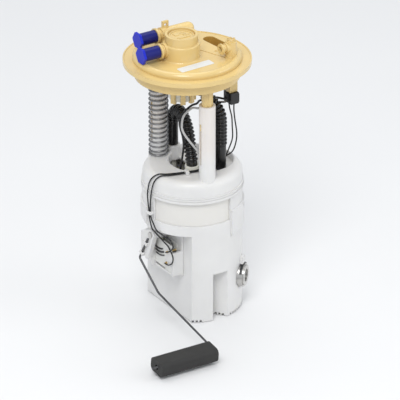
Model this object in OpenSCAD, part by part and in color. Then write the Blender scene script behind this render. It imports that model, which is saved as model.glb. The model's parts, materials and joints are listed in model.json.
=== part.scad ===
// Fuel pump module for a fuel tank.
// Origin: on the reservoir's axis at the tank floor. +Z is up, -X is the way the nipples point.

/* [Reservoir cup] */
// Outer radius of the cup
cup_r = 50; // [48.5:0.5:54]
// Wall of the cup
cup_wall = 1.8; // [1.4:0.1:2.2]
// Height of the cup's rim
cup_h = 131; // [126:1:140]
// Distance of the flat side from the axis
flat_x = 27; // [26:0.5:28]
// Height of the flat side
flat_h = 95; // [92:1:100]
// Height of the rim windows' lower edge
window_z = 106; // [104:1:112]
// Width of a rim window, degrees
window_deg = 98; // [80:2:116]
// Gap between the pump's can and the corner of the channel in the cup's front
channel_gap = 4.6; // [3.8:0.1:6]
// Height of the channel
channel_h = 51; // [30:1:70]
// Height of the foot's teeth
tooth_h = 2; // [1.2:0.1:3]
// Number of teeth round a full foot
tooth_count = 80; // [40:4:96]

/* [Lid] */
// Height of the lid's flat top
lid_top = 154; // [152:1:160]
// Wall of the lid
lid_wall = 2; // [1.6:0.1:2.4]
// Radius of the lid's shoulder
shoulder_r = 8; // [5:0.5:9]
// Radius of the lid's rim ring
ring_r = 51.5; // [51:0.1:53]
// Height of the lid's rim ring
ring_h = 6.5; // [4:0.5:8]
// Radius of the well in the lid
well_r = 32; // [28:0.5:32.5]
// Depth of the well's floor below the top
well_depth = 8; // [5:0.5:10]

/* [Guides] */
// Outer radius of a guide sleeve
sleeve_r = 8.2; // [7.8:0.1:8.6]
// Height of the sleeves' upper ends
sleeve_top = 234; // [220:1:238]
// Radius of a guide rod
rod_r = 5.7; // [5:0.1:6]
// Running clearance between rod and sleeve
rod_gap = 0.08; // [0.03:0.01:0.1]
// Height of a rod's lower end
rod_end = 165; // [160:1:175]
// Length of the slot in a sleeve
slot_len = 45; // [40:1:50]
// Width of the slot in a sleeve
slot_w = 3; // [2.4:0.1:4]

/* [Guide spring] */
// Wire diameter of the spring
wire_d = 1.7; // [1.2:0.1:1.8]
// Coils of the spring
coils = 22; // [16:1:26]

/* [Flange] */
// Radius of the brim
brim_r = 64; // [62:0.5:66]
// Height of the brim's underside
seat_z = 266; // [262:1:270]
// Thickness of the brim
brim_t = 4; // [3:0.5:5]
// Outer radius of the skirt
skirt_r = 53; // [52.5:0.1:54]
// Height of the skirt below the brim
skirt_h = 13; // [8:1:16]
// Radius of the ridge's crest line
ridge_r = 50; // [49:0.5:50.5]
// Thickness of the deck
deck_t = 3; // [2.5:0.1:3.5]
// Rise of the deck above the brim
deck_rise = 4; // [3:0.5:5]
// Radius of the tower's lower part
tower_r = 18.5; // [18:0.1:20]
// Radius of the tower's upper part
tower_top_r = 16.5; // [16:0.1:17.5]
// Height of the tower above the deck
tower_h = 25; // [24:0.5:28]
// Radius of a fuel nipple
nipple_r = 4; // [3.8:0.1:4.4]
// Radius of a transport cap
cap_r = 6.5; // [6:0.1:7]
// Length of a transport cap
cap_len = 19; // [17:0.5:22]

/* [Level sender] */
// Depth of the float arm's pivot below the flat side's top
pivot_drop = 9; // [7:0.5:11]
// Diameter of the float arm's wire
arm_d = 2.2; // [1.8:0.1:2.6]
// Length of the float
float_len = 65; // [50:1:68]
// Width of the float
float_w = 22; // [18:0.5:24]
// Thickness of the float
float_t = 15; // [12:0.5:16]

/* [Pump] */
// Radius of the pump's can
pump_r = 19; // [18:0.1:19.4]
// Height of the pump's lower end
pump_z = 18; // [16:0.5:22]
// Length of the pump's can
pump_len = 84; // [80:1:90]
// Radius of the pump's shaft
shaft_r = 2; // [1.6:0.1:2.4]
// Radius of the fine filter
filter_r = 16.2; // [14:0.1:16.4]
// Height of the fine filter's housing
filter_h = 78; // [60:1:82]
// Radius of the pressure regulator's can
regulator_r = 12; // [10:0.1:13]

/* [Hoses] */
// Radius of a hose's ribs
hose_r = 6.4; // [6:0.1:6.6]
// Radius of a hose's plain cuffs
cuff_r = 5.5; // [5.2:0.1:5.8]
// Radius of a hose's bore
hose_bore = 4.45; // [4.3:0.05:4.6]

/* [Hidden] */
$fn = 72;
eps = 0.01;

// Named clearances
fit = 0.1;
slip = 0.3;

// Cup
floor_t = 1.8;
cup_in = cup_r - cup_wall;
window_dirs = [58, 238];
lug_dirs = [-32, 148];
pump_xy = [-5, -14];
channel_xy = pump_xy + (pump_r + channel_gap) * [cos(-74), sin(-74)];
channel_step_dir = 238;
channel_side_dir = 307.7;
valve_xy = [27, -19];
regulator_dir = -46.5;
regulator_z = 35;
regulator_face = cup_r + 5.7;
regulator_len = 17;

// Lid
ring_z = cup_h;
skirt_in_r = cup_in - fit;
lid_r = cup_r - 0.1;
well_xy = [13, 5];
well_z = lid_top - well_depth;
well_cut_x = 4;
front_xy = [-7, -39];
rear_xy = [-18, 35];
bore_r = rod_r + rod_gap;
bore_z = lid_top - 26;
port_xy = [-8, -12];
port_z = lid_top - 5;
jet_xy = [0.5, 38];
jet_port_z = lid_top + 5;
out_xy = [25, -13];
slot_top = sleeve_top - 19;

// Flange
flange_x = -6;
brim_top = seat_z + brim_t;
deck_z = brim_top + deck_rise;
under_z = deck_z - deck_t;
skirt_z = seat_z - skirt_h;
tower_xy = [-14, -2];
tower_step = 16.3;
valve_r = 12;
valve_z = deck_z - 44.5;
valve_rise = 20.2;
post_xy = [28.3, -26.7];
post_r = 5.7;
post_h = 16.5;
vent_z = deck_z + 10;
front_nipple_y = tower_xy[1] + 2.5;
front_nipple_z = deck_z + 10.3;
rear_nipple_y = tower_xy[1] + 23.5;
rear_nipple_z = deck_z + 16.7;
front_collar_x = tower_xy[0] - 24;
rear_collar_x = tower_xy[0] - 15;
well_a = [32, 19];
well_b = [36.5, -12.5];
socket_xy = [38, -12];
socket_z = deck_z - 46;
adapter_xy = [7.5, 2];
adapter_z = deck_z - 28;

// Sender
pivot_z = flat_h - pivot_drop;
frame_x = -44.3;
plate_x = -40.2;
lever_x = -49.3;
arm_x = -50.6;
arm_bend = [15.6, -29.4];
arm_kink = [-16.8, -57.4];
float_z = 10.4;
arm_end = [-122.8, float_z - pivot_z];
float_x = -53;
terminal_x = plate_x - 1.4;
terminals = [[-17.7, -14], [-15.8, -26.6]];

// Pump
pump_top = pump_z + pump_len;
plug_xy = pump_xy + [-9.5, 12];
filter_xy = [cup_in - filter_r - 3, -2];
filter_z = 40;

// Helpers
module at(p, z = 0) {
  translate([p[0], p[1], z]) children();
}
module tube(r, r_in, h) {
  difference() {
    cylinder(r = r, h = h);
    translate([0, 0, -1]) cylinder(r = r_in, h = h + 2);
  }
}
module sector(r, deg) {
  polygon([[0, 0], for (a = [-deg / 2 : deg / 8 : deg / 2 + eps]) 2 * r * [cos(a), sin(a)]]);
}
function unit(v) = v / norm(v);

// Swept tube: stations are [point, radius], each ring stands square to the path
function tangent(p, i) = unit(p[min(i + 1, len(p) - 1)] - p[max(i - 1, 0)]);
function ring_at(c, t, side, r, n) =
  let (u = unit(cross(t, side)), v = cross(u, t))
  [for (k = [0 : n - 1]) c + r * cos(360 * k / n) * u + r * sin(360 * k / n) * v];
module swept(path, radii, side, n) {
  rings = [for (i = [0 : len(path) - 1]) each ring_at(path[i], tangent(path, i), side, radii[i], n)];
  last = len(path) - 1;
  polyhedron(
    points = rings,
    faces = [
      [for (k = [0 : n - 1]) k],
      [for (k = [n - 1 : -1 : 0]) last * n + k],
      for (i = [0 : last - 1], k = [0 : n - 1])
        [i * n + (k + 1) % n, i * n + k, (i + 1) * n + k, (i + 1) * n + (k + 1) % n]
    ]);
}
// Point on a smooth curve through the route's points
function spline(p, i, t) =
  let (
    a = p[max(i - 1, 0)],
    b = p[i],
    c = p[min(i + 1, len(p) - 1)],
    d = p[min(i + 2, len(p) - 1)]
  )
  0.5 * (2 * b + (c - a) * t + (2 * a - 5 * b + 4 * c - d) * t * t + (3 * b - a - 3 * c + d) * t * t * t);
function smooth(p, steps) = [
  for (i = [0 : len(p) - 2], s = [0 : steps - 1]) spline(p, i, s / steps),
  p[len(p) - 1]
];
module wire(route, d) {
  path = smooth(route, 2);
  swept(path, [for (q = path) d / 2], [0.31, 0.93, 0.2], 8);
}
// Corrugated hose: even rings are ribs and odd rings valleys, the ends are plain cuffs with a blind bore
module hose(route, steps, cuff_a, cuff_b, side) {
  n = 12;
  path = smooth(route, steps);
  last = len(path) - 1;
  valley_r = hose_r - 1.5;
  stations = [
    [cuff_a - 1, hose_bore],
    [0, hose_bore],
    for (i = [0 : last])
      [i, i <= cuff_a || i >= last - cuff_b ? cuff_r : i % 2 == 0 ? hose_r : valley_r],
    [last, hose_bore],
    [last - cuff_b + 1, hose_bore]
  ];
  end = len(stations) - 1;
  rings = [for (s = stations) each ring_at(path[s[0]], tangent(path, s[0]), side, s[1], n)];
  polyhedron(
    points = rings,
    faces = [
      [for (k = [0 : n - 1]) k],
      [for (k = [n - 1 : -1 : 0]) end * n + k],
      for (i = [0 : end - 1], k = [0 : n - 1])
        [i * n + (k + 1) % n, i * n + k, (i + 1) * n + k, (i + 1) * n + (k + 1) % n]
    ]);
}

// Reservoir cup
module channel_plan(grow) {
  step = [cos(channel_step_dir), sin(channel_step_dir)];
  side = [cos(channel_side_dir), sin(channel_side_dir)];
  corner = channel_xy - grow / sin(channel_side_dir - channel_step_dir) * (step + side);
  polygon([corner, corner + 60 * step, corner + 60 * (step + side), corner + 60 * side]);
}
module cup_plan(r, flat, grow = -1) {
  difference() {
    circle(r);
    translate([-flat - 2 * r, -2 * r]) square([2 * r, 4 * r]);
    if (grow >= 0) channel_plan(grow);
  }
}
module tooth_gaps() {
  pitch = 360 / tooth_count;
  gap_w = 2.2;
  for (i = [0 : tooth_count - 1]) {
    a = i * pitch - 180;
    if ((a > -74 && a < 119) || (a > -122 && a < -108))
      rotate(a) translate([cup_in - 1, -gap_w / 2]) square([cup_wall + 3, gap_w]);
  }
  for (t = [2.6 : PI * cup_r * pitch / 180 : 12])
    translate(channel_xy) rotate(channel_side_dir) translate([t - gap_w / 2, -1]) square([gap_w, cup_wall + 2]);
}
module storey(from, to) {
  translate([0, 0, from]) linear_extrude(to - from) children();
}
module reservoir_cup() {
  low_in = flat_x - cup_wall;
  floor_z = tooth_h + floor_t;
  color("white") difference() {
    union() {
      storey(0, tooth_h) difference() {
        cup_plan(cup_r, flat_x, 0);
        cup_plan(cup_in, low_in, cup_wall);
        tooth_gaps();
      }
      storey(0, tooth_h) circle(8);
      storey(tooth_h, floor_z) cup_plan(cup_r, flat_x, 0);
      storey(floor_z, channel_h) difference() {
        cup_plan(cup_r, flat_x, 0);
        cup_plan(cup_in, low_in, cup_wall);
      }
      storey(channel_h, channel_h + cup_wall) difference() {
        cup_plan(cup_r, flat_x);
        cup_plan(cup_in, low_in, cup_wall);
      }
      storey(channel_h + cup_wall, flat_h) difference() {
        cup_plan(cup_r, flat_x);
        cup_plan(cup_in, low_in);
      }
      storey(flat_h, flat_h + cup_wall) difference() {
        circle(cup_r);
        cup_plan(cup_in, low_in);
      }
      storey(flat_h + cup_wall, window_z) difference() {
        circle(cup_r);
        circle(cup_in);
      }
      storey(window_z, cup_h) difference() {
        circle(cup_r);
        circle(cup_in);
        for (d = window_dirs) rotate(d) sector(cup_r, window_deg);
      }
      lug_pads();
      regulator_boss();
      regulator_lug();
    }
    for (d = lug_dirs)
      rotate(d) translate([cup_in - 2, -7 - slip, latch_z]) cube([9, 14 + 2 * slip, 6]);
    regulator_hole();
    at(valve_xy) valve_holes();
  }
}
latch_z = 108;
lug_rise = 1.9;
lug_top = 116;
module lug_pads() {
  lug_pad(lug_dirs[0], flat_h - 9);
  lug_pad(lug_dirs[1], flat_h);
}
module lug_pad(d, z) {
  rotate(d - 40) rotate_extrude(angle = 68) polygon([
    [cup_r - 1, z], [cup_r - eps, z], [cup_r + lug_rise, z + 5], [cup_r + lug_rise, lug_top], [cup_r - 1, lug_top]
  ]);
}
module regulator_axis() {
  rotate([0, 0, regulator_dir]) translate([0, 0, regulator_z]) rotate([0, 90, 0]) children();
}
module regulator_boss() {
  regulator_axis() translate([0, 0, cup_in - 3]) cylinder(r = regulator_r + 2, h = 3 + slip);
}
module regulator_hole() {
  regulator_axis() translate([0, 0, cup_r / 2]) cylinder(r = regulator_r + slip, h = cup_r);
}
module regulator_lug() {
  rotate([0, 0, regulator_dir])
    translate([cup_r - 1, -4, regulator_z + regulator_r + 1.6]) cube([4.4, 8, 7.6]);
}
module pump_cradle() {
  base = tooth_h + floor_t + fit;
  inner = pump_r + 3.2;
  color("white") at(pump_xy, base) difference() {
    union() {
      tube(inner + 1.4, inner, 24);
      tube(inner + 1.4, pump_r - 1.7, 2);
    }
    for (a = [0 : 90 : 270])
      rotate(a + 20) translate([pump_r, -4, 8]) cube([8, 8, 20]);
    beside_walls();
  }
}
// Room of the flat side and the channel, seen from the pump's axis
module beside_walls() {
  depth = 2 * pump_r;
  translate([cup_wall + slip - flat_x - pump_xy[0] - depth, -depth, -1]) cube([depth, 2 * depth, depth]);
  translate([-pump_xy[0], -pump_xy[1], -1]) linear_extrude(depth) channel_plan(cup_wall + slip);
}
module valve_holes() {
  cylinder(r = 1.5 + fit, h = 20, center = true);
  for (a = [45 : 90 : 315])
    rotate(a) translate([4, 0, 0]) cylinder(r = 1.2, h = 20, center = true);
}

// Reservoir lid
module lid_shell() {
  arc_r = lid_r - shoulder_r;
  difference() {
    union() {
      rotate_extrude() union() {
        square([skirt_in_r, ring_z + 1]);
        translate([0, ring_z]) square([lid_r, lid_top - shoulder_r - ring_z]);
        translate([0, ring_z]) square([ring_r, 2.6]);
        translate([0, ring_z + 3]) square([ring_r - 0.7, ring_h - 3.8]);
        translate([0, ring_z + ring_h - 1]) square([ring_r - 0.3, 1]);
        translate([0, ring_z]) square([ring_r - 1, ring_h - 0.5]);
        square([arc_r, lid_top]);
        translate([arc_r, lid_top - shoulder_r]) circle(shoulder_r);
      }
      at(rear_xy, lid_top - shoulder_r) cylinder(r = sleeve_r + 2.1, h = shoulder_r);
    }
    translate([0, 0, -1]) cylinder(r = cup_r * 2, h = window_z - 1);
    translate([0, 0, -1]) cylinder(r = skirt_in_r - 1.7, h = ring_z + 3);
    translate([0, 0, ring_z]) cylinder(r = lid_r - lid_wall - 1, h = lid_top - shoulder_r - ring_z);
    translate([0, 0, ring_z + 5]) cylinder(r = arc_r - 0.5, h = lid_top - lid_wall - ring_z - 5);
  }
}
module well_round() {
  edge = 3;
  rotate_extrude() difference() {
    translate([0, lid_top - edge]) square([well_r + edge, edge + 1]);
    translate([well_r + edge, lid_top - edge + 0.05]) circle(edge);
  }
}
module reservoir_lid() {
  color("white") difference() {
    union() {
      lid_shell();
      at(well_xy, well_z - lid_wall) cylinder(r = well_r + lid_wall, h = well_depth);
      for (p = [front_xy, rear_xy])
        at(p, bore_z - 2) cylinder(r = sleeve_r, h = sleeve_top - bore_z + 2);
      at(jet_xy, lid_top - 6) cylinder(r = 7.4, h = jet_port_z - lid_top + 6);
      latches();
    }
    difference() {
      union() {
        at(well_xy, well_z) cylinder(r = well_r, h = well_depth + 1);
        at(well_xy) well_round();
        intersection() {
          at(well_xy, well_z - 5) cylinder(r = well_r, h = 10);
          translate([-60, -60, well_z - 8]) cube([60 + well_cut_x, 120, 20]);
        }
      }
      at(port_xy, well_z - 10) cylinder(r = 7, h = port_z - well_z + 10);
      for (p = [front_xy, rear_xy]) at(p) cylinder(r = sleeve_r, h = sleeve_top);
      at(jet_xy) cylinder(r = 7.4, h = jet_port_z);
    }
    for (p = [front_xy, rear_xy]) {
      at(p, bore_z) cylinder(r = bore_r, h = sleeve_top);
      at(p, slot_top - slot_len) translate([-sleeve_r - 1, -slot_w / 2, 0]) cube([sleeve_r, slot_w, slot_len]);
    }
    at(port_xy) cylinder(r = nipple_r + slip, h = 400);
    at(port_xy, port_z) cylinder(r = 7.6, h = 40);
    at(jet_xy) cylinder(r = nipple_r + slip, h = 400);
    at(out_xy) cylinder(r = nipple_r + slip, h = 400);
  }
}
module latches() {
  for (d = lug_dirs)
    rotate(d) translate([skirt_in_r - 1, -7, latch_z + 0.4]) rotate([90, 0, 90])
      linear_extrude(3.1) square([14, 5]);
}

// Guides: the spring round the rear sleeve and the two fluted rods
module guide_spring() {
  mean_r = sleeve_r + 0.3 + wire_d / 2;
  steps = 14;
  low = lid_top + slip + wire_d / 2;
  high = under_z - slip - wire_d / 2;
  turns = coils + 2;
  function rise(t) = t < 1 ? t * wire_d * 1.04
    : t > turns - 1 ? high - low - (turns - t) * wire_d * 1.04
    : wire_d * 1.04 + (t - 1) * (high - low - 2 * wire_d * 1.04) / (turns - 2);
  path = [
    for (i = [0 : turns * steps])
      [mean_r * cos(360 * i / steps), mean_r * sin(360 * i / steps), low + rise(i / steps)]
  ];
  color("silver") at(rear_xy) swept(path, [for (q = path) wire_d / 2], [0, 0, 1], 6);
}
module guide_rod(p) {
  flute_r = 2.4;
  hook_z = slot_top - 8;
  at(p) {
    difference() {
      translate([0, 0, rod_end]) cylinder(r = rod_r, h = under_z - rod_end);
      for (a = [60, 120, 240, 300])
        rotate(a) translate([rod_r + flute_r - 0.7, 0, rod_end - 1]) cylinder(r = flute_r, h = 98, $fn = 32);
      translate([0, 0, rod_end - 1]) cylinder(r = rod_r - 2, h = 60);
    }
    hook_w = slot_w - 0.6;
    translate([-sleeve_r + 0.7, -hook_w / 2, hook_z]) cube([sleeve_r - rod_r + 1, hook_w, 7.6]);
  }
}
module guide_rod_front() { color("khaki") guide_rod(front_xy); }
module guide_rod_rear() { color("khaki") guide_rod(rear_xy); }

// Flange
module flange_plan(z = 0) {
  translate([flange_x, 0, z]) children();
}
module brim_and_deck() {
  flange_plan() rotate_extrude() union() {
    translate([0, seat_z]) square([brim_r - 1.4, brim_t]);
    translate([brim_r - 1.4, seat_z]) square([1.4, brim_t + 0.6]);
    translate([skirt_r - 2, skirt_z]) square([2, skirt_h + 1]);
    translate([0, seat_z]) square([skirt_r - 0.5, brim_t + deck_rise]);
  }
}
module ridge() {
  from = -22;
  sweep = 213;
  flange_plan(deck_z - 2) {
    rotate([0, 0, from - sweep]) rotate_extrude(angle = sweep) translate([ridge_r, 0]) circle(4.4);
  }
}
module tower() {
  at(tower_xy) rotate_extrude() union() {
    translate([0, deck_z - 1]) square([tower_r, tower_step - 0.5]);
    translate([0, deck_z]) square([tower_top_r, tower_h]);
    translate([0, deck_z - 1]) square([tower_r - 1.5, tower_step + 1]);
    translate([tower_r - 1.5, deck_z + tower_step - 1.5]) circle(1.5);
    difference() {
      translate([0, deck_z - 1]) square([tower_r + 2, 3]);
      translate([tower_r + 2, deck_z + 2]) circle(2.05);
    }
  }
}
module flared(r, root_r, len) {
  rotate_extrude() union() {
    square([r, len]);
    difference() {
      square([root_r, root_r - r]);
      translate([root_r, root_r - r]) circle(root_r - r - 0.05);
    }
  }
}
module front_nipple() {
  reach = tower_xy[0] - front_collar_x;
  translate([tower_xy[0], front_nipple_y, front_nipple_z]) rotate([0, -90, 0]) {
    cylinder(r = 6, h = reach);
    translate([0, 0, tower_r - 1.5]) cylinder(r = 7.6, h = 3);
    translate([0, 0, reach - 1]) cylinder(r = 8, h = 2.2);
    cylinder(r = nipple_r, h = reach + cap_len - 2);
    translate([0, 0, reach + 12]) cylinder(r = nipple_r + 0.5, h = 2);
  }
}
module rear_nipple() {
  translate([tower_xy[0], rear_nipple_y, rear_nipple_z]) {
    rotate([0, -90, 0]) {
      cylinder(r = 5.6, h = -rear_collar_x + tower_xy[0]);
      translate([0, 0, 4]) cylinder(r = 7.5, h = 6);
      translate([0, 0, tower_xy[0] - rear_collar_x - 1]) cylinder(r = 8, h = 2.2);
      cylinder(r = nipple_r, h = tower_xy[0] - rear_collar_x + cap_len - 2);
      translate([0, 0, tower_xy[0] - rear_collar_x + 12]) cylinder(r = nipple_r + 0.5, h = 2);
    }
    rotate([0, 90, 0]) translate([0, 0, -6]) cylinder(r = 6.5, h = 28);
    translate([22, 0, 0]) sphere(6.45);
    translate([-7, 0, deck_z - rear_nipple_z - 1]) cylinder(r = 6, h = rear_nipple_z - deck_z + 1);
    translate([-2, -5.4, deck_z - rear_nipple_z - 1]) cube([19, 10.8, rear_nipple_z - deck_z + 1]);
    difference() {
      translate([-8, -1.2, 5]) cube([7, 2.4, 9]);
      translate([-6.2, -3, 8.5]) cube([3.4, 6, 3]);
    }
  }
}
module nipple_bores() {
  translate([tower_xy[0], front_nipple_y, front_nipple_z]) rotate([0, -90, 0])
    cylinder(r = 2.6, h = 60);
  translate([tower_xy[0], rear_nipple_y, rear_nipple_z]) rotate([0, -90, 0])
    translate([0, 0, -18]) cylinder(r = 2.6, h = 80);
  translate([tower_xy[0] - 7, rear_nipple_y, under_z - 1]) cylinder(r = 2.6, h = rear_nipple_z - under_z + 1);
}
module vent_post() {
  at(post_xy, deck_z - 1) {
    cylinder(r = post_r, h = post_h + 1);
    cylinder(r = post_r + 1, h = 2.4);
    translate([0, 0, vent_z - deck_z + 1]) rotate([0, -90, 0]) {
      cylinder(r = 3.9, h = 12);
      translate([0, 0, 10.6]) cylinder(r = 5.6, h = 1.8);
      cylinder(r = 5.2, h = 7);
    }
  }
}
module well_plan(grow = 0) {
  for (p = [well_a, well_b]) translate(p) circle(6.5 + grow);
  a = atan2(well_b[1] - well_a[1], well_b[0] - well_a[0]);
  len = norm(well_b - well_a);
  translate(well_a) rotate(a) translate([0, 2 * eps - 6.5 - grow]) square([len, 13 + 2 * grow - 4 * eps]);
}
module snap_hooks() {
  for (a = [200, 245, 290, 335])
    at(tower_xy) rotate(a) translate([valve_r + slip, -2.5, valve_z - 2]) {
      cube([2, 5, under_z - valve_z + 3]);
      translate([-1.5, 0, 0]) cube([2, 5, 1.7]);
    }
}
module flange() {
  color("khaki") difference() {
    union() {
      difference() {
        brim_and_deck();
        flange_plan(skirt_z - 1) cylinder(r = skirt_r - 2, h = under_z - skirt_z + 1);
      }
      ridge();
      tower();
      front_nipple();
      rear_nipple();
      vent_post();
      translate([0, 0, socket_z + 22]) linear_extrude(under_z - socket_z - 21) well_plan(1.4);
      translate([socket_xy[0] - 4.5, socket_xy[1] - 4.5, socket_z]) cube([9, 9, 24]);
      snap_hooks();
      at(adapter_xy, under_z - 5) tube(8.2, 7 + fit, 6);
    }
    translate([0, 0, socket_z + 25]) linear_extrude(60) well_plan(0);
    at(tower_xy) {
      translate([0, 0, under_z - 1]) cylinder(r = valve_r + fit, h = tower_h - 4);
      translate([0, 0, deck_z + tower_h - 4]) cylinder(r = 13.8, h = 5);
    }
    nipple_bores();
    translate([post_xy[0], post_xy[1], vent_z]) rotate([0, -90, 0]) cylinder(r = 2.8, h = 20);
    at(post_xy, under_z - 1) cylinder(r = 2.8, h = vent_z - under_z + 2.8);
    for (i = [-1, 0, 1]) pin_place(i) cylinder(r = 1 + fit, h = 60, center = true);
    for (p = [[13, 9], [12, 22], [22, -9]]) at(p, deck_z - 1.2) cylinder(r = 1.6, h = 3);
    translate([8, 4, deck_z - 0.6]) rotate(-68) cube([34, 1.2, 2]);
  }
}
module pin_place(i) {
  translate([socket_xy[0] + 0.5, socket_xy[1] + 2.8 * i, socket_z + 22]) children();
}
module tower_cap() {
  color("khaki") at(tower_xy, deck_z + tower_h - 4) {
    cylinder(r = 13.8 - fit, h = 1.6);
    tube(12.4, 11.2, 2.6);
    translate([-7, -6, 0]) cube([14, 2.4, 2.4]);
    translate([-6, 2, 0]) cube([5, 5, 2.2]);
    translate([4, 4, 0]) tube(3, 1.8, 2.2);
    translate([2, -1, 0]) cube([7, 1.4, 2.2]);
  }
}
module vent_valve_body() {
  cavity = valve_r - 2;
  color("white") at(tower_xy, valve_z) difference() {
    union() {
      cylinder(r = valve_r, h = under_z - valve_z + tower_h - 8);
      translate([0, 0, 0]) cylinder(r = valve_r, h = 2);
    }
    translate([0, 0, 2]) cylinder(r = cavity, h = under_z - valve_z + tower_h - 12);
    translate([0, 0, -1]) cylinder(r = 3, h = 5);
    translate([0, 0, under_z - valve_z + tower_h - 12]) cylinder(r = 2, h = 10);
  }
}
module vent_valve_float() {
  color("gray") at(tower_xy, valve_z + 2 + slip) {
    cylinder(r = valve_r - 2 - slip, h = 30);
    translate([0, 0, 29]) cylinder(r = 1.6, h = valve_rise);
  }
}
module vent_crown() {
  color("khaki") at(post_xy, deck_z + post_h) {
    cylinder(r = 4.4, h = 1);
    for (a = [0 : 60 : 300]) rotate(a) translate([2.4, -0.8, 0.5]) cube([1.8, 1.6, 1.9]);
  }
}
module connector_pins() {
  color("gold") for (i = [-1, 0, 1]) pin_place(i) translate([0, 0, -7]) {
    cylinder(r = 1, h = 20);
    translate([0, 0, 17]) sphere(0.99);
  }
}
module harness_plug() {
  color("dimgray") at(socket_xy, socket_z - 12) difference() {
    union() {
      translate([-4.5, -7, 0]) cube([9, 14, 12 - fit]);
      translate([-5.6, -3, 3]) cube([2, 6, 8]);
      translate([3.5, -6.5, 1]) cube([2, 3, 9]);
      translate([3.5, 3.5, 1]) cube([2, 3, 9]);
    }
    translate([-3.2, -5.5, 9]) cube([6.4, 11, 5]);
  }
}
module feed_adapter() {
  color("ivory") at(adapter_xy, adapter_z) difference() {
    union() {
      cylinder(r = nipple_r, h = 20);
      translate([0, 0, 14.4]) cylinder(r = 7, h = under_z - adapter_z - 14.4 - fit);
      translate([0, 0, 2]) cylinder(r = nipple_r + 0.2, h = 1.6);
    }
    translate([0, 0, -1]) cylinder(r = 2.6, h = 60);
  }
}
module transport_cap(collar_x, y, z) {
  color("blue") translate([collar_x - 1.4, y, z]) rotate([0, -90, 0]) difference() {
    union() {
      cylinder(r = cap_r, h = cap_len);
      translate([0, 0, cap_len - 1]) linear_extrude(2.6) rotate(30) circle(r = 8.8, $fn = 6);
    }
    translate([0, 0, -1]) cylinder(r = nipple_r + 0.56, h = cap_len);
  }
}
module front_cap() { transport_cap(front_collar_x, front_nipple_y, front_nipple_z); }
module rear_cap() { transport_cap(rear_collar_x, rear_nipple_y, rear_nipple_z); }

// Level sender
module sender_frame() {
  back = -flat_x - fit;
  left = -27;
  foot = -38;
  depth = back - frame_x;
  color("white") translate([0, 0, pivot_z]) {
    difference() {
      union() {
        translate([back - 2.4, left, foot - 2]) cube([2.4, 41, 47]);
        translate([plate_x, left, foot]) cube([back - plate_x, 2, 25.5]);
        translate([plate_x, left, foot]) cube([back - plate_x, 35, 2]);
        translate([plate_x, left, foot + 10]) cube([2, 14, 15.5]);
        translate([frame_x, 6, foot]) cube([depth, 2, 42]);
        translate([frame_x, -6, 4.5]) cube([depth, 14, 2]);
        translate([frame_x, -3, -2.6]) cube([depth, 10, 5.2]);
        translate([frame_x, 0, 0]) rotate([0, 90, 0]) cylinder(r = 5, h = depth);
      }
      translate([frame_x - 1, 0, 0]) rotate([0, 90, 0]) cylinder(r = 1.5 + 0.04, h = 10);
      for (p = terminals) translate([plate_x - 1, p[0], p[1]]) rotate([0, 90, 0]) cylinder(r = 1.2 + fit, h = 4);
    }
    for (z = [-32, -14]) translate([frame_x + 2, 8 - eps, z]) cube([3, 12, 11]);
    for (y = [left, 11]) translate([back - 5, y, foot + 8]) cube([5, 3, 6]);
  }
}
module resistor_card() {
  color("ivory") translate([-flat_x - fit - 2.4 - fit - 1, -19.5, pivot_z - 35.5]) cube([1, 25, 28]);
}
module sender_terminals() {
  color("gold") for (p = terminals)
    translate([terminal_x, p[0], pivot_z + p[1]]) rotate([0, 90, 0])
      cylinder(r = 1.2, h = -flat_x - 3.5 - 2 * fit - terminal_x);
}
module pivot_pin() {
  color("silver") translate([lever_x - 1.4, 0, pivot_z]) rotate([0, 90, 0]) {
    cylinder(r = 1.5, h = frame_x - lever_x + 1.4 + 7);
    cylinder(r = 3, h = 1.2);
  }
}
module lever_plan() {
  hull() {
    circle(5.4);
    translate([14.6, -4.2]) circle(3.4);
    translate([14.6, -21.5]) circle(3.4);
    translate([8, -26]) circle(3.6);
  }
}
module sender_lever() {
  gap = frame_x - slip;
  color("white") difference() {
    union() {
      translate([lever_x, 0, pivot_z]) rotate([90, 0, 90]) linear_extrude(gap - lever_x) lever_plan();
      for (s = [11, 26.6]) lever_clip(s);
    }
    translate([lever_x - 1, 0, pivot_z]) rotate([0, 90, 0]) cylinder(r = 1.5 + fit, h = 12);
    translate([lever_x - 3, 0, pivot_z]) rotate([0, 90, 0]) cylinder(r = 3 + fit, h = 3.2);
  }
}
module lever_clip(s) {
  a = atan2(arm_bend[1], arm_bend[0]);
  translate([0, 0, pivot_z]) rotate([a, 0, 0]) translate([lever_x - 3.5, s, -3]) difference() {
    cube([4, 3, 6]);
    translate([0.9, -1, 3 - arm_d / 2 - fit]) cube([2.7, 5, arm_d + 2 * fit]);
  }
}
module wiper_contacts() {
  color("gold") translate([frame_x - slip + fit, 0, pivot_z]) {
    rotate([-62, 0, 0]) for (y = [7, 9.4])
      translate([0, y, -1]) cube([0.2 - eps, 1.4, 2]);
  }
}
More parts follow.
